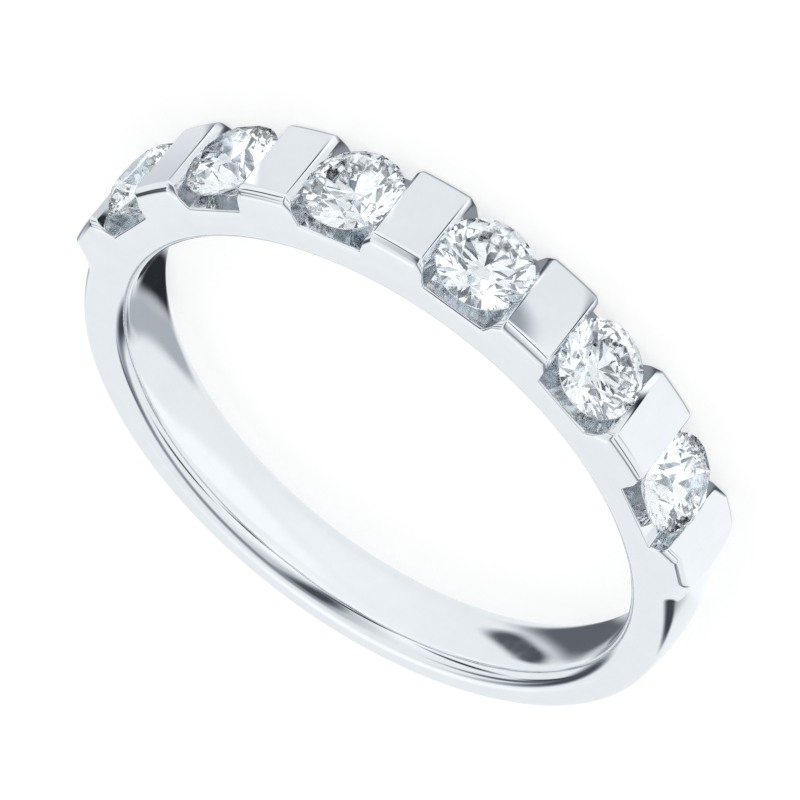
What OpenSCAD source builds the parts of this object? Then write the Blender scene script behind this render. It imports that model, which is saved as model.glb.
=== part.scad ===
// Half eternity ring: a polished band whose crown has seven bars, with a round brilliant
// held between each pair. The ring lies on its side. Its finger hole runs along Z through
// the origin, and the middle of the crown faces -Y.

/* [Band] */
// Diameter of the finger hole
finger_d = 17; // [16.6:0.1:17.4]
// Width of the band across the crown
band_w = 2.88; // [2.86:0.01:3]
// Width of the band at the bottom of the shank
shank_w = 2.5; // [2.4:0.02:2.7]
// Metal between the finger hole and the floor of a gap, in the middle of the crown
crown_wall = 1.35; // [1.3:0.05:1.5]
// Thickness of the shank at its bottom
shank_wall = 1.2; // [1.15:0.05:1.3]
// Shift of the band's outside towards the crown
crown_shift = 0.3; // [0.2:0.05:0.35]
// Radius of the rounded edges of the finger hole
bore_edge_r = 0.55; // [0.3:0.05:0.6]
// Radius of the domed outside of the shank, across its width
dome_r = 6; // [4:0.5:8]
// Where the shank starts to narrow: its distance from the ring's middle, towards the crown
taper_from = 3.3; // [0:0.1:3.5]
// Radius of the rounded outer edges of the shank
shank_edge_r = 0.15; // [0.1:0.05:0.3]

/* [Bars] */
// Angle from one bar to the next
bar_pitch = 24.5; // [24.3:0.1:24.8]
// Width of a bar's top, along the crown
bar_w = 1.63; // [1.55:0.01:1.7]
// Height of the bars above the floors of the gaps
bar_rise = 0.93; // [0.85:0.01:1]
// Radius of the rounded edges along both ends of a bar's top
bar_edge_r = 0.25; // [0.1:0.01:0.3]
// Lean of the domed end faces that fall from the end bars to the shank
end_slope = 54; // [45:1:60]
// Radius of the dome of these end faces, across the band's width
end_dome_r = 5; // [3:0.5:8]

/* [Stones] */
// Diameter of a stone
stone_d = 2.84; // [2.7:0.01:2.85]
// Height of the stones' girdles above the floors of the gaps
girdle_rise = 0.57; // [0.52:0.01:0.6]
// Thickness of a girdle
girdle_t = 0.08; // [0.06:0.01:0.1]
// Width of the table, as a share of the diameter
table_share = 0.57; // [0.53:0.01:0.62]
// Slope of the crown's main facets
crown_angle = 34.5; // [32:0.5:36]
// Slope of the pavilion's main facets
pavilion_angle = 40.9; // [40:0.1:41.5]
// How far the star facets reach from the table to the girdle
star_share = 0.5; // [0.4:0.05:0.6]
// How far the lower girdle facets reach from the girdle to the culet
lower_share = 0.77; // [0.7:0.01:0.85]
// Clearance between a stone and its seat
seat_gap = 0.03; // [0.02:0.01:0.05]

/* [Hidden] */

metal = [0.86, 0.88, 0.9];
diamond = [0.93, 0.96, 1];

// The two kinds of wall beside a stone. The last gap opens wider towards its end bar.
// Columns: half width at the floor, lean, height where the bevel starts, lean of the bevel
HALF_W = 0;
LEAN = 1;
BEVEL_H = 2;
BEVEL_LEAN = 3;
wall = [0.99, 23.7, 0.68, 47];
last_wall = [1.26, 17, 0.5, 56];

stone_n = 6;
bar_n = stone_n + 1;
half_w = band_w / 2;
floor_r = finger_d / 2 + crown_wall - crown_shift;
bar_top_r = floor_r + bar_rise;
crest_r = finger_d / 2 + shank_wall + crown_shift;
girdle_r = floor_r + girdle_rise;
end_angle = bar_pitch * (bar_n - 1) / 2;
// Angle by which each side face leans in, from where the shank starts to narrow
taper = atan((band_w - shank_w) / 2 / (crest_r - crown_shift + taper_from));

// Where the cutters end: past the metal
past = 1;
// What the cutters' arcs run past the flat faces that they end on
overrun = 0.01;
arc_steps = 5;
$fn = 144;
core_r = finger_d / 2 - past;

stone_r = stone_d / 2;
table_r = stone_r * table_share;
crown_h = (stone_r - table_r) * tan(crown_angle);
pavilion_h = stone_r * tan(pavilion_angle);
mains = 8;
girdle_sides = 64;
per_main = girdle_sides / mains;

// Points along an arc
function arc(centre, r, from, to, steps = arc_steps) =
    [for (i = [0 : steps]) let (a = from + (to - from) * i / steps)
        centre + r * [cos(a), sin(a)]];

function mirrored(points) =
    [for (i = [len(points) - 1 : -1 : 0]) [points[i].x, -points[i].y]];

// Cross-section of the crown, from below the finger hole out to the bars' tops
module crown_section() {
    edge = arc([bar_top_r - bar_edge_r, half_w - bar_edge_r], bar_edge_r, 90, 0);
    polygon(concat([[core_r, half_w]], edge, mirrored(edge), [[core_r, -half_w]]));
}

// What lies outside the shank's domed cross-section
module dome_outside() {
    centre_x = crest_r - dome_r;
    half_angle = asin((half_w + past) / dome_r);
    far_r = bar_top_r + past;
    polygon(concat(arc([centre_x, 0], dome_r, -half_angle, half_angle, 4 * arc_steps),
        [[far_r, half_w + past], [far_r, -half_w - past]]));
}

// What lies outside the rounding between the dome and the upper side face
module shank_edge_outside() {
    centre_z = half_w - shank_edge_r + overrun;
    dome_x = crest_r - dome_r;
    centre_x = dome_x + sqrt(pow(dome_r - shank_edge_r, 2) - pow(centre_z, 2));
    edge_angle = atan2(centre_z, centre_x - dome_x);
    edge = arc([centre_x, centre_z], shank_edge_r, 90, edge_angle);
    out = edge[arc_steps] + past * [cos(edge_angle), sin(edge_angle)];
    polygon(concat([[centre_x, half_w + past]], edge, [out, [out.x, half_w + past]]));
}

// The upper rounded edge of the finger hole, and the hole above it
module bore_edge_section() {
    centre = [finger_d / 2 + bore_edge_r - overrun, half_w - bore_edge_r + overrun];
    polygon(concat([[0, centre.y]], arc(centre, bore_edge_r, 180, 90),
        [[centre.x, half_w + past], [0, half_w + past]]));
}

// Lean what is cut from the upper side so that it follows the shank as it narrows
module leaned() {
    translate([0, -taper_from, half_w])
        rotate([-taper, 0, 0])
            translate([0, taper_from, -half_w])
                children();
}

module both_sides() {
    children();
    mirror([0, 0, 1])
        children();
}

// What lies outside one end face. The face is part of a cylinder, which leans down from the
// top edge of the end bar to the shank.
module end_cutter(side) {
    flat = half_w - bar_edge_r;
    sag = end_dome_r - sqrt(pow(end_dome_r, 2) - pow(flat, 2));
    width = band_w + 2 * past;
    length = 2 * bar_top_r;
    rotate(-90 + side * end_angle)
        translate([bar_top_r, side * bar_w / 2, 0])
            rotate([90, 0, side * (90 - end_slope)])
                difference() {
                    translate([-past, -width / 2, -length / 2])
                        cube([end_dome_r, width, length]);
                    translate([sag - end_dome_r, 0, -length / 2 - past])
                        cylinder(r = end_dome_r, h = length + 2 * past);
                }
}

// The half of the ring that holds the crown, down to its two end faces
module crown_room() {
    far = 2 * bar_top_r;
    difference() {
        translate([-far, -far, -half_w - 2 * past])
            cube([2 * far, far, band_w + 4 * past]);
        for (side = [1, -1])
            end_cutter(side);
    }
}

// One wall's outline in a gap's own frame: X along the crown towards the last bar, Y out
// from the band
function wall_line(w, side) = let (top = bar_rise + past / 2,
        bevel_x = w[HALF_W] + w[BEVEL_H] * tan(w[LEAN]))
    [[side * w[HALF_W], 0], [side * bevel_x, w[BEVEL_H]],
     [side * (bevel_x + (top - w[BEVEL_H]) * tan(w[BEVEL_LEAN])), top]];

// Turn to gap i, counted from the bar at +X, so that Y points out of the crown
module at_gap(i) {
    translate([0, -crown_shift, 0])
        rotate(end_angle - bar_pitch * (i - 0.5) + 180)
            children();
}

module gap_cutter(i) {
    near = wall_line(wall, -1);
    far = wall_line(i == stone_n ? last_wall : wall, 1);
    at_gap(i)
        translate([0, floor_r, -half_w - past])
            linear_extrude(band_w + 2 * past)
                polygon(concat(near, [for (k = [2 : -1 : 0]) far[k]]));
}

// The hollow that a stone sits in: its own outline, turned and made larger by the clearance
module seat_cutter(i) {
    r = stone_r + seat_gap;
    under = -girdle_t / 2 - seat_gap;
    over = girdle_t / 2 + seat_gap;
    cap_h = crown_h * 0.6;
    at_gap(i)
        translate([0, girdle_r, 0])
            rotate([-90, 0, 0])
                rotate_extrude()
                    polygon([[0, under - r * tan(pavilion_angle)], [r, under], [r, over],
                        [r - cap_h / tan(crown_angle), over + cap_h], [0, over + cap_h]]);
}

module shank_cutter() {
    translate([0, -crown_shift, 0])
        rotate_extrude()
            dome_outside();
    both_sides()
        leaned()
            translate([0, -crown_shift, 0])
                rotate_extrude()
                    shank_edge_outside();
}

// What narrows the shank: a slab above its leaning side face
module side_cutter() {
    size = 3 * finger_d;
    leaned()
        translate([-size / 2, -taper_from, half_w])
            cube([size, size / 2, past]);
}

module bore_cutter() {
    cylinder(d = finger_d, h = band_w, center = true);
    both_sides() {
        rotate_extrude()
            bore_edge_section();
        leaned()
            rotate_extrude()
                bore_edge_section();
    }
}

module band() {
    color(metal)
        difference() {
            translate([0, -crown_shift, 0])
                rotate_extrude()
                    crown_section();
            difference() {
                shank_cutter();
                translate([0, -crown_shift, 0])
                    crown_room();
            }
            both_sides()
                side_cutter();
            bore_cutter();
            for (i = [1 : stone_n]) {
                gap_cutter(i);
                seat_cutter(i);
            }
        }
}

// Height of a sloping facet over a point, from the height and place of its lowest corner.
// The facet falls away in direction a, and its low end is at distance d along it.
function facet_z(p, a, d, slope) = (d - p * [cos(a), sin(a)]) * tan(slope);

function polar(r, a) = r * [cos(a), sin(a)];

// A round brilliant with a table, 8 stars, 8 crown mains, 16 upper and 16 lower girdle
// facets and 8 pavilion mains. Z points out of the table, and Z = 0 is mid-girdle.
module brilliant() {
    half = 180 / mains;
    quarter = half / 2;
    chord = stone_r * cos(quarter);
    table_mid = table_r * cos(half);
    star_r = table_mid + star_share * (stone_r - table_mid);
    star_z = facet_z(polar(star_r, half), 0, stone_r, crown_angle);
    lower_r = stone_r * (1 - lower_share);
    lower_z = facet_z(polar(lower_r, half), 0, stone_r, pavilion_angle);
    upper_slope = atan(star_z / (chord - star_r * cos(quarter)));
    lower_slope = atan(lower_z / (chord - lower_r * cos(quarter)));

    function girdle_z(k, slope) = let (a = 360 * k / girdle_sides,
            middle = (floor(k * 2 / per_main) + 0.5) * half)
        facet_z(polar(stone_r, a), middle, chord, slope);
    function ring(n, r, z, turn = 0) = [for (i = [0 : n - 1]) let (a = 360 * (i + turn) / n)
        [r * cos(a), r * sin(a), z]];

    up = girdle_t / 2;
    table = ring(mains, table_r, up + crown_h);
    stars = ring(mains, star_r, up + star_z, 0.5);
    upper = [for (k = [0 : girdle_sides - 1]) let (p = polar(stone_r, 360 * k / girdle_sides))
        [p.x, p.y, up + girdle_z(k, upper_slope)]];
    lower = [for (k = [0 : girdle_sides - 1]) let (p = polar(stone_r, 360 * k / girdle_sides))
        [p.x, p.y, -up - girdle_z(k, lower_slope)]];
    joins = ring(mains, lower_r, -up - lower_z, 0.5);
    culet = [[0, 0, -up - pavilion_h]];

    T = 0;
    S = T + mains;
    U = S + mains;
    L = U + girdle_sides;
    J = L + girdle_sides;
    C = J + mains;
    m = [for (i = [0 : mains - 1]) i];
    g = [for (k = [0 : girdle_sides - 1]) k];
    function next(i, n) = (i + 1) % n;
    function prev(i) = (i + mains - 1) % mains;
    // Girdle corners under half a main facet, from corner k on
    function run(first, k) = [for (j = [0 : per_main / 2]) first + (k + j) % girdle_sides];
    function back(list) = [for (j = [len(list) - 1 : -1 : 0]) list[j]];

    polyhedron(concat(table, stars, upper, lower, joins, culet), concat(
        [back([for (i = m) T + i])],
        [for (i = m) [T + i, T + next(i, mains), S + i]],
        [for (i = m) [T + i, S + i, U + per_main * i, S + prev(i)]],
        [for (i = m) concat([S + i], back(run(U, per_main * i)))],
        [for (i = m) concat([S + i], back(run(U, per_main * (i + 0.5))))],
        [for (k = g) [U + k, U + next(k, girdle_sides), L + next(k, girdle_sides), L + k]],
        [for (i = m) concat([J + i], run(L, per_main * i))],
        [for (i = m) concat([J + i], run(L, per_main * (i + 0.5)))],
        [for (i = m) [C, J + prev(i), L + per_main * i, J + i]]));
}

module stone(i) {
    color(diamond)
        at_gap(i)
            translate([0, girdle_r, 0])
                rotate([-90, 0, 0])
                    brilliant();
}

band();
stone(1);  // stone_1
stone(2);  // stone_2
stone(3);  // stone_3
stone(4);  // stone_4
stone(5);  // stone_5
stone(6);  // stone_6
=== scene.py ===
import math

import bpy
from mathutils import Matrix, Vector


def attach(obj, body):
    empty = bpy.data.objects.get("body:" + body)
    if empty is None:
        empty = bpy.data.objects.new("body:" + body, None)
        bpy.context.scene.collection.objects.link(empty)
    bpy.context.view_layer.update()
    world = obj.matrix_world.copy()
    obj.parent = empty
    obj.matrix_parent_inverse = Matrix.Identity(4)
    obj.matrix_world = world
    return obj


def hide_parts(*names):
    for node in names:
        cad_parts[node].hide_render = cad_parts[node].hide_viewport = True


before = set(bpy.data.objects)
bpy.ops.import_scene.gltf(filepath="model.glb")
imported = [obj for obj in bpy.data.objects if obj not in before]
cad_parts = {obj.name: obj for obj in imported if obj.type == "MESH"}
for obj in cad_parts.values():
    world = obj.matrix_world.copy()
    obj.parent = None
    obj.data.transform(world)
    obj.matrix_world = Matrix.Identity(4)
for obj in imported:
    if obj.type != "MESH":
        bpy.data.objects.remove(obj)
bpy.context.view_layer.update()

# The studio. The ring lies on a plain white floor under a white dome of light, with grey cards
# round it that give the polished metal its shades.
MM = 0.001
scene = bpy.context.scene
scene.view_settings.view_transform = "Standard"
scene.cycles.max_bounces = 24
scene.cycles.glossy_bounces = 12
scene.cycles.transmission_bounces = 24
scene.cycles.blur_glossy = 0.2
scene.cycles.sample_clamp_indirect = 12


def hex_linear(code):
    """An sRGB hex colour as Blender's linear numbers."""
    out = []
    for i in (1, 3, 5):
        c = int(code[i:i + 2], 16) / 255
        out.append(c / 12.92 if c <= 0.04045 else ((c + 0.055) / 1.055) ** 2.4)
    return (*out, 1.0)


def add(tree, kind, settings=None, values=None, links=None):
    """Add a node with its settings, its sockets' values and the links into it."""
    node = tree.nodes.new(kind)
    for name, value in (settings or {}).items():
        setattr(node, name, value)
    for name, value in (values or {}).items():
        node.inputs[name].default_value = value
    for name, source in (links or {}).items():
        tree.links.new(source, node.inputs[name])
    return node


def toward(azimuth, elevation):
    """The direction of an azimuth, counted from +Y to +X, and an elevation, in degrees."""
    azimuth, elevation = math.radians(azimuth), math.radians(elevation)
    return Vector((math.sin(azimuth) * math.cos(elevation),
                   math.cos(azimuth) * math.cos(elevation), math.sin(elevation)))


# Each card or soft box is a soft-edged strip of the dome: the directions (azimuth, elevation)
# of its two ends, half its width in degrees, and its light, where the white dome has 1.
dome_light = 1.0
edge_soft = 0.6
cards = {
    "low_window": ((-160, 5), (160, 5), 30, 1.2),
    "front_halo": ((-171, 62), (176, 25), 21, 0.72),
    "front_card": ((-171, 70), (178, 16), 8, 0.12),
    "over_card": ((-76, 60), (-175, 72), 9, 0.40),
    "low_right_card": ((-50, 29), (-74, 55), 8, 0.38),
    "right_card": ((-35, -12), (-38, 18), 10, 0.10),
    "left_card": ((57, 40), (54, 8), 9, 0.12),
    "left_low_card": ((50, -8), (34, -24), 8, 0.45),
    "soft_box": ((29, 60), (25, 45), 9, 1.2),
    "bore_card": ((96, 47), (62, 24), 5, 0.2),
    "bar_card_1": ((60, 23), (80, 29), 3.3, 0.10),
    "bar_card_2": ((104, 24), (133, 15), 3.7, 0.02),
    "bar_card_3": ((150, 0), (178, 12), 3.7, 0.02),
    "bar_card_4": ((-163, -6), (-135, 8), 3.7, 0.02),
    "bar_card_5": ((-117, 26), (-89, 26), 3.7, 0.02),
    "bar_card_6": ((-56, 43), (-35, 34), 3.3, 0.2),
}
world = bpy.data.worlds.new("white_studio")
scene.world = world
world.use_nodes = True
world.cycles.sampling_method = "NONE"
dome = world.node_tree
dome.nodes.clear()
way = add(dome, "ShaderNodeTexCoord").outputs["Generated"]
light = add(dome, "ShaderNodeValue")
light.outputs[0].default_value = dome_light
light = light.outputs[0]
for begin, end, half_width, strip_light in cards.values():
    begin, end = toward(*begin), toward(*end)
    middle = (begin + end).normalized()
    along = (end - begin).normalized()
    axes = Matrix((along, middle.cross(along), middle)).transposed()
    half_length = begin.angle(end) / 2 + math.radians(half_width)
    local = add(dome, "ShaderNodeMapping", {"vector_type": "TEXTURE"},
                {"Rotation": axes.to_euler(),
                 "Scale": (math.sin(half_length), math.sin(math.radians(half_width)), 1)},
                {"Vector": way})
    flat = add(dome, "ShaderNodeVectorMath", {"operation": "MULTIPLY"}, {1: (1, 1, 0)},
               {0: local.outputs[0]})
    reach = add(dome, "ShaderNodeVectorMath", {"operation": "LENGTH"}, None,
                {0: flat.outputs[0]})
    shape = add(dome, "ShaderNodeMapRange", {"interpolation_type": "SMOOTHSTEP"},
                {"From Min": 1 - edge_soft, "From Max": 1 + edge_soft, "To Min": 1.0,
                 "To Max": 0.0}, {"Value": reach.outputs["Value"]})
    # A strip shows on its own side of the dome alone.
    depth = add(dome, "ShaderNodeSeparateXYZ", None, None, {0: local.outputs[0]})
    front = add(dome, "ShaderNodeMath", {"operation": "GREATER_THAN"}, {1: 0.0},
                {0: depth.outputs["Z"]})
    share = add(dome, "ShaderNodeMath", {"operation": "MULTIPLY"}, None,
                {0: shape.outputs[0], 1: front.outputs[0]})
    light = add(dome, "ShaderNodeMix", None, {"B": strip_light},
                {"Factor": share.outputs[0], "A": light}).outputs[0]

# The cards show in what the metal and the stones mirror. Light that has been through a stone
# comes from a white dome that is dark where the photograph's camera stood, and the floor's from
# a white one.
ray = add(dome, "ShaderNodeLightPath")
floor_light = 1.12
stone_light = 1.4
stone_dark = 0.2
dark_way = toward(-163, 30)
dark_within = 12
light_beyond = 30
nearness = add(dome, "ShaderNodeVectorMath", {"operation": "DOT_PRODUCT"},
               {1: dark_way}, {0: way})
stone_way = add(dome, "ShaderNodeMapRange", {"interpolation_type": "SMOOTHSTEP"},
                {"From Min": math.cos(math.radians(light_beyond)),
                 "From Max": math.cos(math.radians(dark_within)),
                 "To Min": stone_light, "To Max": stone_dark},
                {"Value": nearness.outputs["Value"]})
mirrored = add(dome, "ShaderNodeMix", None, {"A": floor_light},
               {"Factor": ray.outputs["Is Glossy Ray"], "B": light})
strength = add(dome, "ShaderNodeMix", None, None,
               {"Factor": ray.outputs["Is Transmission Ray"], "A": mirrored.outputs[0],
                "B": stone_way.outputs[0]})
cool = add(dome, "ShaderNodeMix", {"data_type": "RGBA"},
           {"A": hex_linear("#FFFFFF"), "B": hex_linear("#F8FCFF")},
           {"Factor": ray.outputs["Is Glossy Ray"]})
tint = add(dome, "ShaderNodeMix", {"data_type": "RGBA"}, {"A": hex_linear("#C4D0E0")},
           {"Factor": strength.outputs[0], "B": cool.outputs["Result"]})
sky = add(dome, "ShaderNodeBackground", None, None,
          {"Color": tint.outputs["Result"], "Strength": strength.outputs[0]})
add(dome, "ShaderNodeOutputWorld", None, None, {"Surface": sky.outputs[0]})

# The camera stands where the photograph's did, 30 degrees above the floor, and is turned as it
# was. Its distance and the point that it looks at are in millimetres.
look_azimuth = 17.19
look_elevation = 29.90
look_roll = 141.53
look_distance = 250.0
look_at = Vector((0.342, -0.523, -0.693))
camera_data = bpy.data.cameras.new("camera")
camera_data.sensor_width = 36
camera_data.lens = 395.8
camera_data.clip_start = 0.01
camera_data.clip_end = 5
camera = bpy.data.objects.new("camera", camera_data)
scene.collection.objects.link(camera)
scene.camera = camera
look = toward(look_azimuth, -look_elevation)
camera.location = (look_at - look * look_distance) * MM
level = look.to_track_quat("-Z", "Y").to_matrix()
camera.rotation_euler = (level @ Matrix.Rotation(-math.radians(look_roll), 3, "Z")).to_euler()


# The band. It is one piece of polished white gold: a domed shank that narrows towards its
# bottom, and a crown with seven bars. It is cast, filed to shape and then buffed, so every
# edge is softened. Sizes are in millimetres and degrees. The crown's radii are measured round a
# centre of its own, which lies crown_shift from the hole's.
finger_r = 8.5
half_w = 1.44
crown_shift = 0.3
floor_r = 9.55
bar_top_r = 10.48
bar_w = 1.63
bar_pitch = 24.5
stone_n = 6
crest_r = 10.0
dome_r = 6.0
bore_edge_r = 0.55
shank_half = 1.25
taper_from = 3.3
end_slope = 54
end_dome_r = 5.0
brim_from = 0.85
brim_drop = 12

# The two sides of a gap lean apart from its floor to a bevel, and further apart above it. The
# last gap opens wider towards the last bar.
wall = {"half_w": 0.99, "lean": 23.7, "bevel_h": 0.68, "bevel_lean": 47}
last_wall = {"half_w": 1.26, "lean": 17, "bevel_h": 0.5, "bevel_lean": 56}

# The softened edges: first where a face meets the band's sides, then the plan's corners, each
# with its radius and its number of steps.
top_edge_r = 0.3
floor_edge_r = 0.06
wall_edge_r = 0.07
bevel_edge_r = 0.25
shank_edge_r = 0.18
foot_edge_r = 0.42
foot_edge_from = -1.5
foot_edge_run = 4.0
corner = {"end": (0.22, 6), "foot": (0.8, 8), "top": (0.1, 4), "bevel": (0.15, 3),
          "floor": (0.05, 3)}
least_bevel = 0.01

end_angle = bar_pitch * stone_n / 2
taper_slope = (half_w - shank_half) / (crest_r - crown_shift + taper_from)


def half_at(y):
    """Half the band's width at a distance y from the ring's middle, towards the shank."""
    run = y + taper_from
    soft = 0.8
    eased = run if run > soft else (run + soft) ** 2 / (4 * soft) if run > -soft else 0
    return half_w - eased * taper_slope


def inset(level, r):
    """How far a rounded edge of radius r has drawn a face in at a level of the width."""
    past = level - (half_w - r)
    return r - math.sqrt(max(r * r - past * past, 0)) if past > 0 else 0.0


def crest_at(y, level):
    """The shank's outer radius, measured from the crown's centre. Its edge is softest by the
    end bars' feet."""
    z = level * half_at(y) / half_w
    bottom = min(max((y - foot_edge_from) / foot_edge_run, 0), 1)
    edge = foot_edge_r + (shank_edge_r - foot_edge_r) * bottom * bottom * (3 - 2 * bottom)
    return crest_r - dome_r + math.sqrt(dome_r ** 2 - z * z) - inset(level, edge)


def cross_lines(a, along_a, b, along_b):
    """Where two lines in the plan cross."""
    t = (b - a).cross(along_b) / along_a.cross(along_b)
    return a + along_a * t


def cross_circle(a, along, r):
    """Where a line that points outwards leaves a circle round the plan's centre."""
    m = a.dot(along)
    return a + along * (-m + math.sqrt(m * m - a.dot(a) + r * r))


def slope(angle):
    """A direction that leans from straight out by an angle."""
    return Vector((math.sin(math.radians(angle)), math.cos(math.radians(angle))))


def turned(points, angle, side=1):
    """Points from a gap's or bar's own frame (X along the crown, Y out) to the plan."""
    a = math.radians(angle)
    out, along = Vector((-math.sin(a), -math.cos(a))), Vector((-math.cos(a), math.sin(a)))
    return [along * (side * p.x) + out * p.y for p in points]


def gap_side(shape, level):
    """One side of a gap at a level of the width: its corners from the floor to the top."""
    lean, bevel = slope(shape["lean"]), slope(shape["bevel_lean"])
    cut = inset(level, wall_edge_r)
    foot = Vector((shape["half_w"], floor_r)) + Vector((lean.y, -lean.x)) * cut
    knee = Vector((shape["half_w"], floor_r)) + lean * (shape["bevel_h"] / lean.y)
    knee = knee + Vector((bevel.y, -bevel.x)) * inset(level, bevel_edge_r)
    floor = Vector((0, floor_r - inset(level, floor_edge_r)))
    top_r = bar_top_r - inset(level, top_edge_r)
    knee = cross_lines(foot, lean, knee, bevel)
    if knee.length > top_r - least_bevel:
        knee = cross_circle(foot, lean, top_r - least_bevel)
    return [cross_lines(foot, lean, floor, Vector((1, 0))), knee,
            cross_circle(knee, bevel, top_r)]


def end_side(level, side):
    """An end face at a level of the width: its top corner and its foot on the shank."""
    flat = half_w - top_edge_r
    sag = end_dome_r - math.sqrt(end_dome_r ** 2 - flat ** 2)
    bulge = sag - end_dome_r + math.sqrt(end_dome_r ** 2 - level * level)
    brim = min(max((level - brim_from) / (half_w - brim_from), 0), 1)
    lean = math.radians(end_slope - brim_drop * brim * brim * (3 - 2 * brim))
    down = Vector((math.sin(lean), -math.cos(lean)))
    out = Vector((-down.y, down.x))
    start = Vector((bar_w / 2, bar_top_r)) + out * (bulge - inset(level, foot_edge_r))
    top = cross_circle(start, -down, bar_top_r - inset(level, top_edge_r))
    foot = start
    # The shank's radius at the foot changes with the foot's place, so three rounds close in.
    for _ in range(3):
        r = crest_at(turned([foot], side * end_angle, side)[0].y - crown_shift, level)
        m = start.dot(down)
        foot = start + down * (-m - math.sqrt(m * m - start.dot(start) + r * r))
    return [top, foot]


def plan_corners(level):
    """The plan's corners at a level of the width, from the first bar to the last one, each
    with its radius and steps, and the kind and steps of the run that follows it."""
    out = []
    start = end_side(level, -1)
    for point, name, run in ((start[1], "foot", ("line", 6)), (start[0], "end", ("arc", 8))):
        out.append((turned([point], -end_angle, -1)[0], *corner[name], run))
    for i in range(stone_n):
        angle = (i - (stone_n - 1) / 2) * bar_pitch
        near = gap_side(wall, level)
        far = gap_side(last_wall if i == stone_n - 1 else wall, level)
        for k, name, run in ((2, "top", ("line", 3)), (1, "bevel", ("line", 4)),
                             (0, "floor", ("line", 8))):
            out.append((turned([near[k]], angle, -1)[0], *corner[name], run))
        for k, name, run in ((0, "floor", ("line", 4)), (1, "bevel", ("line", 3)),
                             (2, "top", ("arc", 8))):
            out.append((turned([far[k]], angle, 1)[0], *corner[name], run))
    finish = end_side(level, 1)
    for point, name, run in ((finish[0], "end", ("line", 6)), (finish[1], "foot", ("shank", 150))):
        out.append((turned([point], end_angle, 1)[0], *corner[name], run))
    return out


def tangent(point):
    """The direction round the plan's centre at a point, from the first bar to the last."""
    return Vector((-point.y, point.x)).normalized() * -1


def plan_outline(level):
    """The rounded outline of the plan at a level of the width."""
    corners = plan_corners(level)
    n = len(corners)
    most_of_run = 0.42
    rounded = []
    for i, (point, r, steps, run) in enumerate(corners):
        before, after = corners[i - 1], corners[(i + 1) % n]
        way_in = (point - before[0]).normalized() if before[3][0] == "line" else tangent(point)
        way_out = (after[0] - point).normalized() if run[0] == "line" else tangent(point)
        turn = math.atan2(way_in.cross(way_out), way_in.dot(way_out))
        room = most_of_run * min((point - before[0]).length, (after[0] - point).length)
        reach = min(r * math.tan(abs(turn) / 2), room)
        r = reach / math.tan(abs(turn) / 2)
        side = 1 if turn > 0 else -1
        centre = point - way_in * reach + Vector((-way_in.y, way_in.x)) * (side * r)
        spoke = point - way_in * reach - centre
        arc = []
        for k in range(steps + 1):
            a = turn * k / steps
            arc.append(centre + Vector((spoke.x * math.cos(a) - spoke.y * math.sin(a),
                                        spoke.x * math.sin(a) + spoke.y * math.cos(a))))
        rounded.append(arc)
    outline = []
    for i, arc in enumerate(rounded):
        outline += arc
        kind, steps = corners[i][3]
        a, b = arc[-1], rounded[(i + 1) % n][0]
        for k in range(1, steps):
            t = k / steps
            if kind == "line":
                outline.append(a.lerp(b, t))
                continue
            from_angle = math.atan2(-a.x, -a.y)
            sweep = (math.atan2(-b.x, -b.y) - from_angle) % (2 * math.pi)
            angle = from_angle + sweep * t
            way = Vector((-math.sin(angle), -math.cos(angle)))
            if kind == "shank":
                outline.append(way * crest_at(way.y * crest_r - crown_shift, level))
            else:
                outline.append(way * (a.length + (b.length - a.length) * t))
    return outline


flat_levels = [0, 0.2, 0.4, 0.6, 0.8, 0.92]
round_steps = 14
levels = flat_levels + [half_w - foot_edge_r * (1 - math.sin(math.pi / 2 * k / round_steps))
                        for k in range(round_steps + 1)]
shift = Vector((0, -crown_shift))
outlines = [[p + shift for p in plan_outline(level)] for level in levels]
station_n = len(outlines[0])


def half_loop(i):
    """One cross-section's upper half, from the middle of the outside to that of the hole."""
    thirds = (0.33, 0.67)
    points = []
    for level, outline in zip(levels, outlines):
        p = outline[i]
        points.append(Vector((p.x, p.y, level * half_at(p.y) / half_w)))
    rim = points[-1].xy
    way = rim.normalized()
    inner = way * (finger_r + bore_edge_r)
    for t in thirds:
        p = rim.lerp(inner, t)
        points.append(Vector((p.x, p.y, half_at(p.y))))
    edge_steps = 10
    for k in range(edge_steps + 1):
        a = math.pi / 2 * (1 - k / edge_steps)
        p = way * (finger_r + bore_edge_r * (1 - math.cos(a)))
        top = half_at(p.y)
        points.append(Vector((p.x, p.y, top - bore_edge_r * (1 - math.sin(a)))))
    low = points[-1].z
    for t in (*thirds, 1):
        points.append(Vector((way.x * finger_r, way.y * finger_r, low * (1 - t))))
    return points


band_mesh = bpy.data.meshes.new("polished_band")
loops = []
for i in range(station_n):
    half = half_loop(i)
    loops.append(half + [Vector((p.x, p.y, -p.z)) for p in reversed(half[1:-1])])
loop_n = len(loops[0])
vertices = [tuple(p * MM) for loop in loops for p in loop]
faces = []
for i in range(station_n):
    for j in range(loop_n):
        a, b = i * loop_n + j, i * loop_n + (j + 1) % loop_n
        c, d = (a + loop_n) % len(vertices), (b + loop_n) % len(vertices)
        faces.append((a, c, d, b))
band_mesh.from_pydata(vertices, [], faces)
band_mesh.validate()
polished_band = bpy.data.objects.new("polished_band", band_mesh)
scene.collection.objects.link(polished_band)

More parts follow.
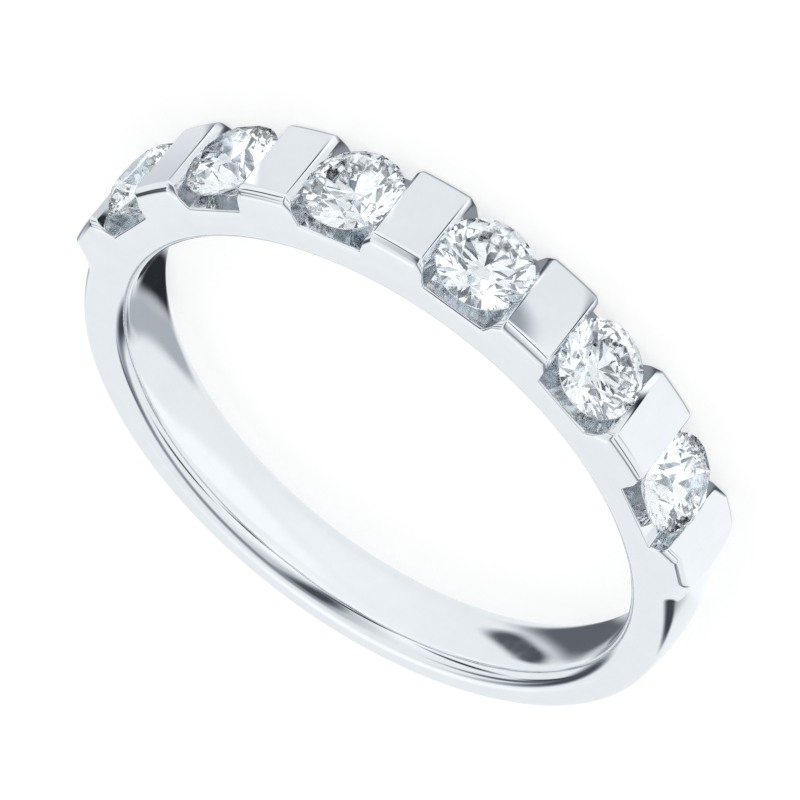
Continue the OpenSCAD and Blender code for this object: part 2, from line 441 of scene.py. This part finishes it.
# Rhodium-plated white gold, filed, then buffed on a wheel: a white mirror, a little wavy where
# the file ran, slightly hazy in places, with fine wheel marks round the ring.
metal = bpy.data.materials.new("rhodium_plated_white_gold")
metal.use_nodes = True
tree = metal.node_tree
tree.nodes.clear()
spot = add(tree, "ShaderNodeVectorMath", {"operation": "SCALE"}, {"Scale": 1 / MM},
           {0: add(tree, "ShaderNodeTexCoord").outputs["Object"]})
file_run = 3.0
wave_depth = 0.006
haze_run = 0.77
waves = add(tree, "ShaderNodeTexNoise", None,
            {"Scale": 1 / file_run, "Detail": 1.0, "Roughness": 0.4}, {"Vector": spot.outputs[0]})
haze = add(tree, "ShaderNodeTexNoise", None,
           {"Scale": 1 / haze_run, "Detail": 3.0, "Roughness": 0.6},
           {"Vector": spot.outputs[0]})

# The marks run round the ring: their pattern changes with the radius and the height, and
# slowly along the ring. Real ones are 0.005 mm apart, and these 0.08 mm, so that they show.
mark_pitch = 0.08
mark_depth = 0.00008
mark_drift = 0.02
across = add(tree, "ShaderNodeVectorMath", {"operation": "MULTIPLY"}, {1: (1, 1, 0)},
             {0: spot.outputs[0]})
across = add(tree, "ShaderNodeVectorMath", {"operation": "LENGTH"}, None,
             {0: across.outputs[0]})
split = add(tree, "ShaderNodeSeparateXYZ", None, None, {0: spot.outputs[0]})
slow = add(tree, "ShaderNodeMath", {"operation": "MULTIPLY"}, {1: mark_drift},
           {0: split.outputs["X"]})
lay = add(tree, "ShaderNodeCombineXYZ", None, None,
          {"X": across.outputs["Value"], "Y": split.outputs["Z"], "Z": slow.outputs[0]})
marks = add(tree, "ShaderNodeTexNoise", None,
            {"Scale": 1 / mark_pitch, "Detail": 2.0, "Roughness": 0.7},
            {"Vector": lay.outputs[0]})
wavy = add(tree, "ShaderNodeBump", None, {"Strength": 1.0, "Distance": wave_depth * MM},
           {"Height": waves.outputs["Fac"]})
marked = add(tree, "ShaderNodeBump", None, {"Strength": 1.0, "Distance": mark_depth * MM},
             {"Height": marks.outputs["Fac"], "Normal": wavy.outputs["Normal"]})
bright_rough = 0.03
hazy_rough = 0.11
buffed = add(tree, "ShaderNodeMapRange", None,
             {"From Min": 0.35, "From Max": 0.7, "To Min": bright_rough, "To Max": hazy_rough},
             {"Value": haze.outputs["Fac"]})
plating = add(tree, "ShaderNodeMix", {"data_type": "RGBA"},
              {"A": hex_linear("#EFF1F2"), "B": hex_linear("#E7E9EB")},
              {"Factor": haze.outputs["Fac"]})
shader = add(tree, "ShaderNodeBsdfPrincipled", None, {"Metallic": 1.0},
             {"Base Color": plating.outputs["Result"], "Roughness": buffed.outputs[0],
              "Normal": marked.outputs["Normal"]})
add(tree, "ShaderNodeOutputMaterial", links={"Surface": shader.outputs["BSDF"]})
band_mesh.materials.append(metal)

# The seats. A burr sinks one cone-shaped seat in each gap, and a notch for the stone's
# girdle in the two bars beside it. Geometry Nodes set the one cutter round the crown. Above the
# girdle the cutter follows the stone's crown, for a part of its height.
stone_r = 1.42
girdle_r = 10.12
girdle_half = 0.04
seat_gap = 0.03
pavilion_angle = 40.9
crown_angle = 34.5
crown_h = 0.4196
cap_share = 0.6
seat_r = stone_r + seat_gap
under = -girdle_half - seat_gap
over = girdle_half + seat_gap
tip = under - seat_r * math.tan(math.radians(pavilion_angle))
cap_h = crown_h * cap_share
cap_r = seat_r - cap_h / math.tan(math.radians(crown_angle))
seat_profile = [(0, tip), (seat_r, under), (seat_r, over), (cap_r, over + cap_h), (0, over + cap_h)]
seat_sides = 96

# The cutter's two tips come first, and then its three circles.
seat_mesh = bpy.data.meshes.new("seat_cutter")
vertices = [(0, seat_profile[0][1] * MM, 0), (0, seat_profile[-1][1] * MM, 0)]
for r, y in seat_profile[1:-1]:
    vertices += [(r * math.cos(2 * math.pi * k / seat_sides) * MM, y * MM,
                  r * math.sin(2 * math.pi * k / seat_sides) * MM) for k in range(seat_sides)]
faces = []
for k in range(seat_sides):
    n = (k + 1) % seat_sides
    faces.append((0, 2 + k, 2 + n))
    for row in (2, 2 + seat_sides):
        faces.append((row + k, row + seat_sides + k, row + seat_sides + n, row + n))
    faces.append((1, 2 + 2 * seat_sides + n, 2 + 2 * seat_sides + k))
seat_mesh.from_pydata(vertices, [], faces)
seats = bpy.data.objects.new("seats", seat_mesh)
scene.collection.objects.link(seats)

ring_of = bpy.data.node_groups.new("set_round_the_crown", "GeometryNodeTree")
sockets = ring_of.interface
sockets.new_socket("Geometry", in_out="INPUT", socket_type="NodeSocketGeometry")
count_in = sockets.new_socket("Count", in_out="INPUT", socket_type="NodeSocketInt")
pitch_in = sockets.new_socket("Pitch", in_out="INPUT", socket_type="NodeSocketFloat")
radius_in = sockets.new_socket("Radius", in_out="INPUT", socket_type="NodeSocketFloat")
shift_in = sockets.new_socket("Shift", in_out="INPUT", socket_type="NodeSocketFloat")
finish_in = sockets.new_socket("Material", in_out="INPUT", socket_type="NodeSocketMaterial")
sockets.new_socket("Geometry", in_out="OUTPUT", socket_type="NodeSocketGeometry")
given = add(ring_of, "NodeGroupInput")
index = add(ring_of, "GeometryNodeInputIndex")
last = add(ring_of, "ShaderNodeMath", {"operation": "SUBTRACT"}, {1: 1.0},
           {0: given.outputs["Count"]})
middle = add(ring_of, "ShaderNodeMath", {"operation": "MULTIPLY"}, {1: 0.5},
             {0: last.outputs[0]})
place = add(ring_of, "ShaderNodeMath", {"operation": "SUBTRACT"}, None,
            {0: index.outputs[0], 1: middle.outputs[0]})
angle = add(ring_of, "ShaderNodeMath", {"operation": "MULTIPLY"}, None,
            {0: place.outputs[0], 1: given.outputs["Pitch"]})
sine = add(ring_of, "ShaderNodeMath", {"operation": "SINE"}, None, {0: angle.outputs[0]})
cosine = add(ring_of, "ShaderNodeMath", {"operation": "COSINE"}, None, {0: angle.outputs[0]})
out_x = add(ring_of, "ShaderNodeMath", {"operation": "MULTIPLY"}, None,
            {0: sine.outputs[0], 1: given.outputs["Radius"]})
out_y = add(ring_of, "ShaderNodeMath", {"operation": "MULTIPLY"}, None,
            {0: cosine.outputs[0], 1: given.outputs["Radius"]})
down_y = add(ring_of, "ShaderNodeMath", {"operation": "ADD"}, None,
             {0: out_y.outputs[0], 1: given.outputs["Shift"]})
flip_x = add(ring_of, "ShaderNodeMath", {"operation": "MULTIPLY"}, {1: -1.0},
             {0: out_x.outputs[0]})
flip_y = add(ring_of, "ShaderNodeMath", {"operation": "MULTIPLY"}, {1: -1.0},
             {0: down_y.outputs[0]})
spot = add(ring_of, "ShaderNodeCombineXYZ", None, None,
           {"X": flip_x.outputs[0], "Y": flip_y.outputs[0]})
half_turn = add(ring_of, "ShaderNodeMath", {"operation": "SUBTRACT"}, {0: math.pi},
                {1: angle.outputs[0]})
facing = add(ring_of, "ShaderNodeCombineXYZ", None, None, {"Z": half_turn.outputs[0]})
points = add(ring_of, "GeometryNodePoints", None, None,
             {"Count": given.outputs["Count"], "Position": spot.outputs[0]})
placed = add(ring_of, "GeometryNodeInstanceOnPoints", None, None,
             {"Points": points.outputs[0], "Instance": given.outputs["Geometry"],
              "Rotation": facing.outputs[0]})
real = add(ring_of, "GeometryNodeRealizeInstances", None, None, {0: placed.outputs[0]})
finished = add(ring_of, "GeometryNodeSetMaterial", None, None,
               {"Geometry": real.outputs[0], "Material": given.outputs["Material"]})
add(ring_of, "NodeGroupOutput", None, None, {0: finished.outputs[0]})
setting = seats.modifiers.new("set_round_the_crown", "NODES")
setting.node_group = ring_of
for socket, value in ((count_in, stone_n), (pitch_in, math.radians(bar_pitch)),
                      (radius_in, girdle_r * MM), (shift_in, crown_shift * MM),
                      (finish_in, metal)):
    setting[socket.identifier] = value


def made_plain(piece):
    """Turn a piece with live modifiers into a plain mesh."""
    graph = bpy.context.evaluated_depsgraph_get()
    mesh = bpy.data.meshes.new_from_object(piece.evaluated_get(graph))
    piece.modifiers.clear()
    piece.data = mesh


crease_angle = 32
made_plain(seats)
cut = polished_band.modifiers.new("seats", "BOOLEAN")
cut.operation = "DIFFERENCE"
cut.solver = "EXACT"
cut.object = seats
made_plain(polished_band)
bpy.data.objects.remove(seats)
polished_band.data.shade_smooth()
polished_band.data.set_sharp_from_angle(angle=math.radians(crease_angle))
even = polished_band.modifiers.new("even_shading", "WEIGHTED_NORMAL")
even.keep_sharp = True
even.mode = "FACE_AREA_WITH_ANGLE"
even.weight = 50
made_plain(polished_band)
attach(polished_band, "root")
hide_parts("band")

# The stones. Each is a round brilliant diamond, cut and polished flat facet by facet, and
# gripped at its girdle between two bars.
stones = [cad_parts[f"stone_{i}"] for i in range(1, stone_n + 1)]

# Near-colourless diamond, with flat polished facets. The girdle, between the crown and the
# pavilion, was ground on another diamond and stays frosted. Its wall is the one face that looks
# neither out of the ring nor into it.
diamond = bpy.data.materials.new("polished_diamond")
diamond.use_nodes = True
tree = diamond.node_tree
tree.nodes.clear()
spot = add(tree, "ShaderNodeVectorMath", {"operation": "SCALE"}, {"Scale": 1 / MM},
           {0: add(tree, "ShaderNodeTexCoord").outputs["Object"]})
from_middle = add(tree, "ShaderNodeVectorMath", {"operation": "ADD"}, {1: (0, crown_shift, 0)},
                  {0: spot.outputs[0]})
outwards = add(tree, "ShaderNodeVectorMath", {"operation": "MULTIPLY"}, {1: (1, 1, 0)},
               {0: from_middle.outputs[0]})
outwards = add(tree, "ShaderNodeVectorMath", {"operation": "NORMALIZE"}, None,
               {0: outwards.outputs[0]})
faced = add(tree, "ShaderNodeVectorMath", {"operation": "DOT_PRODUCT"}, None,
            {0: outwards.outputs[0],
             1: add(tree, "ShaderNodeNewGeometry").outputs["True Normal"]})
turned_by = add(tree, "ShaderNodeMath", {"operation": "ABSOLUTE"}, None,
                {0: faced.outputs["Value"]})
girdle_rough = 0.3
facet_rough = 0.035
frosted = add(tree, "ShaderNodeMapRange", None,
              {"From Min": 0.25, "From Max": 0.35, "To Min": girdle_rough, "To Max": facet_rough},
              {"Value": turned_by.outputs[0]})
tint_run = 1.1
grain = add(tree, "ShaderNodeTexNoise", None, {"Scale": 1 / tint_run, "Detail": 2.0},
            {"Vector": spot.outputs[0]})
body = add(tree, "ShaderNodeMix", {"data_type": "RGBA"},
           {"A": hex_linear("#FAFDFF"), "B": hex_linear("#F4FAFF")},
           {"Factor": grain.outputs["Fac"]})
shader = add(tree, "ShaderNodeBsdfPrincipled", None,
             {"IOR": 2.417, "Transmission Weight": 1.0},
             {"Base Color": body.outputs["Result"], "Roughness": frosted.outputs[0]})
add(tree, "ShaderNodeOutputMaterial", links={"Surface": shader.outputs["BSDF"]})
for stone in stones:
    stone.data.materials.clear()
    stone.data.materials.append(diamond)

# The floor: a plain white acrylic sheet, lit from below as well, as on a product table. Its
# surface is matt, and its white is a little uneven.
floor_half = 400
cloud_run = 83


def square(half, z):
    """The corners of a level square, from half its side and its height in millimetres."""
    return [(x * half * MM, y * half * MM, z * MM) for x, y in ((-1, -1), (1, -1), (1, 1), (-1, 1))]


floor_mesh = bpy.data.meshes.new("floor")
floor_mesh.from_pydata(square(floor_half, -half_w), [], [(0, 1, 2, 3)])
floor = bpy.data.objects.new("floor", floor_mesh)
scene.collection.objects.link(floor)
acrylic = bpy.data.materials.new("backlit_white_acrylic")
acrylic.use_nodes = True
tree = acrylic.node_tree
tree.nodes.clear()
cloud = add(tree, "ShaderNodeTexNoise", None, {"Scale": 1 / (cloud_run * MM), "Detail": 1.0},
            {"Vector": add(tree, "ShaderNodeTexCoord").outputs["Object"]})
white = add(tree, "ShaderNodeMix", {"data_type": "RGBA"},
            {"A": hex_linear("#A2A2A2"), "B": hex_linear("#9E9E9E")},
            {"Factor": cloud.outputs["Fac"]})
shader = add(tree, "ShaderNodeBsdfPrincipled", None,
             {"Roughness": 0.9, "Specular IOR Level": 0.0,
              "Emission Color": hex_linear("#FFFFFF"), "Emission Strength": 0.66},
             {"Base Color": white.outputs["Result"]})
add(tree, "ShaderNodeOutputMaterial", links={"Surface": shader.outputs["BSDF"]})
floor.data.materials.append(acrylic)
floor.visible_glossy = False

# The floor that the metal mirrors, on a glowing sheet just above the plain one: a painted
# reflection of the floor. It is dark right under the crown, a painted shadow of the ring, white
# in front of the bars, and with small painted shades and highlights on it. Each of them is a
# soft-edged strip: its two ends and half its width in millimetres, and its light.
# Painted shades and highlights on the sheet, which show only in the metal's reflections.
painted_floor_patches = {
    "hole_shade_left": ((8.3, 0.4), (7.8, 2.4), 0.6, 0.04),
    "hole_shade_left_pale": ((7.3, 3.1), (6.5, 4.3), 0.6, 0.6),
    "hole_shade_right_small": ((-1.7, 6.7), (-2.7, 6.75), 0.25, 0.15),
    "hole_shade_right": ((-3.6, 6.8), (-6.8, 5.2), 0.6, 0.2),
    "hole_highlight": ((3.0, 4.9), (1.8, 4.85), 0.75, 1.15),
    "edge_shade_1": ((8.2, -8.0), (11.6, -9.2), 0.7, 0.03),
    "edge_shade_2": ((4.3, -11.8), (5.3, -14.2), 0.8, 0.03),
    "edge_shade_3": ((-1.6, -12.4), (-2.8, -14.8), 0.7, 0.03),
    "edge_shade_4": ((-6.1, -9.8), (-9.5, -10.7), 0.7, 0.03),
    "top_shade_4": ((-4.3, -14.7), (-5.5, -14.3), 1.3, 0.5),
    "top_shade_5": ((-12.6, -9.6), (-13.6, -8.6), 0.9, 0.75),
    "bevel_highlight_1": ((7.8, -8.5), (9.0, -10.8), 0.5, 1.3),
    "bevel_highlight_2": ((3.4, -10.8), (2.6, -13.0), 0.5, 1.3),
    "bevel_highlight_3": ((-1.5, -11.0), (-3.2, -11.7), 0.4, 1.3),
    "bevel_highlight_4": ((-5.6, -9.1), (-6.8, -8.5), 0.4, 1.3),
}
patch_soft = 0.45
sheet_half = 19
sheet_lift = 0.005
sheet_mesh = bpy.data.meshes.new("painted_floor_reflection")
sheet_mesh.from_pydata(square(sheet_half, 0), [], [(0, 1, 2, 3)])
sheet = bpy.data.objects.new("painted_floor_reflection", sheet_mesh)
sheet.location = (0, 0, (sheet_lift - half_w) * MM)
scene.collection.objects.link(sheet)
for kind in ("camera", "diffuse", "transmission", "shadow", "volume_scatter"):
    setattr(sheet, f"visible_{kind}", False)
shaded = bpy.data.materials.new("painted_floor_reflection")
shaded.use_nodes = True
tree = shaded.node_tree
tree.nodes.clear()
spot = add(tree, "ShaderNodeVectorMath", {"operation": "SCALE"}, {"Scale": 1 / MM},
           {0: add(tree, "ShaderNodeTexCoord").outputs["Object"]})
from_middle = add(tree, "ShaderNodeVectorMath", {"operation": "ADD"}, {1: (0, crown_shift, 0)},
                  {0: spot.outputs[0]})
reach = add(tree, "ShaderNodeVectorMath", {"operation": "LENGTH"}, None,
            {0: from_middle.outputs[0]})
split = add(tree, "ShaderNodeSeparateXYZ", None, None, {0: from_middle.outputs[0]})


def ramp(source, low, high, low_value, high_value):
    """A smooth change from one value to another over a run of millimetres."""
    return add(tree, "ShaderNodeMapRange", {"interpolation_type": "SMOOTHSTEP"},
               {"From Min": low, "From Max": high, "To Min": low_value, "To Max": high_value},
               {"Value": source}).outputs[0]


def times(a, b):
    """The product of two numbers that change over the sheet."""
    return add(tree, "ShaderNodeMath", {"operation": "MULTIPLY"}, None, {0: a, 1: b}).outputs[0]


# Where each change begins and ends, in millimetres from the crown's centre, and the value
# before and after it.
distance = reach.outputs["Value"]
outside_hole = ramp(distance, 8.45, 8.75, 0.0, 1.0)
near_ring = ramp(distance, 15.5, 17.0, 1.0, 0.0)
crown_side = ramp(split.outputs["Y"], 2.0, 3.0, 1.0, 0.0)
# Right under the band and the crown the sheet is dark: a painted shadow of the ring on the floor,
# as the metal mirrors it.
under_band = ramp(distance, 10.23, 10.53, 1.0, 0.0)
under_crown = ramp(split.outputs["Y"], -2.7, -1.2, 1.0, 0.0)
painted_shadow_light = ramp(distance, 9.9, 10.3, 0.42, 0.1)
# Painted light and shade in what the bar tops mirror: brighter in front of the last bars, darker in
# front of the first.
last_bars_light = ramp(split.outputs["X"], -9.0, -6.0, 1.10, 0.975)
first_bar_light = ramp(split.outputs["X"], 7.0, 12.0, 1.0, 0.84)
glow_light = add(tree, "ShaderNodeMix", None, None,
                 {"Factor": times(under_band, under_crown),
                  "A": times(last_bars_light, first_bar_light), "B": painted_shadow_light}).outputs[0]
share = times(times(outside_hole, near_ring), crown_side)
# Each painted shade or highlight replaces the sheet's own painted light where it lies, and makes
# the sheet show there.
for begin, end, half_width, strip_light in painted_floor_patches.values():
    begin, end = Vector(begin), Vector(end)
    middle, along = (begin + end) / 2, end - begin
    local = add(tree, "ShaderNodeMapping", {"vector_type": "TEXTURE"},
                {"Location": (*middle, 0), "Rotation": (0, 0, math.atan2(along.y, along.x)),
                 "Scale": (along.length / 2 + half_width, half_width, 1)},
                {"Vector": spot.outputs[0]})
    reach = add(tree, "ShaderNodeVectorMath", {"operation": "LENGTH"}, None,
                {0: local.outputs[0]})
    painted_patch = ramp(reach.outputs["Value"], 1 - patch_soft, 1 + patch_soft, 1.0, 0.0)
    glow_light = add(tree, "ShaderNodeMix", None, {"B": strip_light},
                     {"Factor": painted_patch, "A": glow_light}).outputs[0]
    share = add(tree, "ShaderNodeMix", None, {"B": 1.0}, {"Factor": painted_patch, "A": share}).outputs[0]
# The sheet is a cool blue-grey where its painted shade is darkest and white where its painted light
# is brightest.
tint = add(tree, "ShaderNodeMix", {"data_type": "RGBA"},
           {"A": hex_linear("#C4D0E0"), "B": hex_linear("#F8FCFF")}, {"Factor": glow_light})
clear = add(tree, "ShaderNodeBsdfTransparent")
glow = add(tree, "ShaderNodeEmission", None, None,
           {"Color": tint.outputs["Result"], "Strength": glow_light})
both = add(tree, "ShaderNodeMixShader", None, None,
           {0: share, 1: clear.outputs[0], 2: glow.outputs[0]})
add(tree, "ShaderNodeOutputMaterial", None, None, {"Surface": both.outputs[0]})
sheet_mesh.materials.append(shaded)
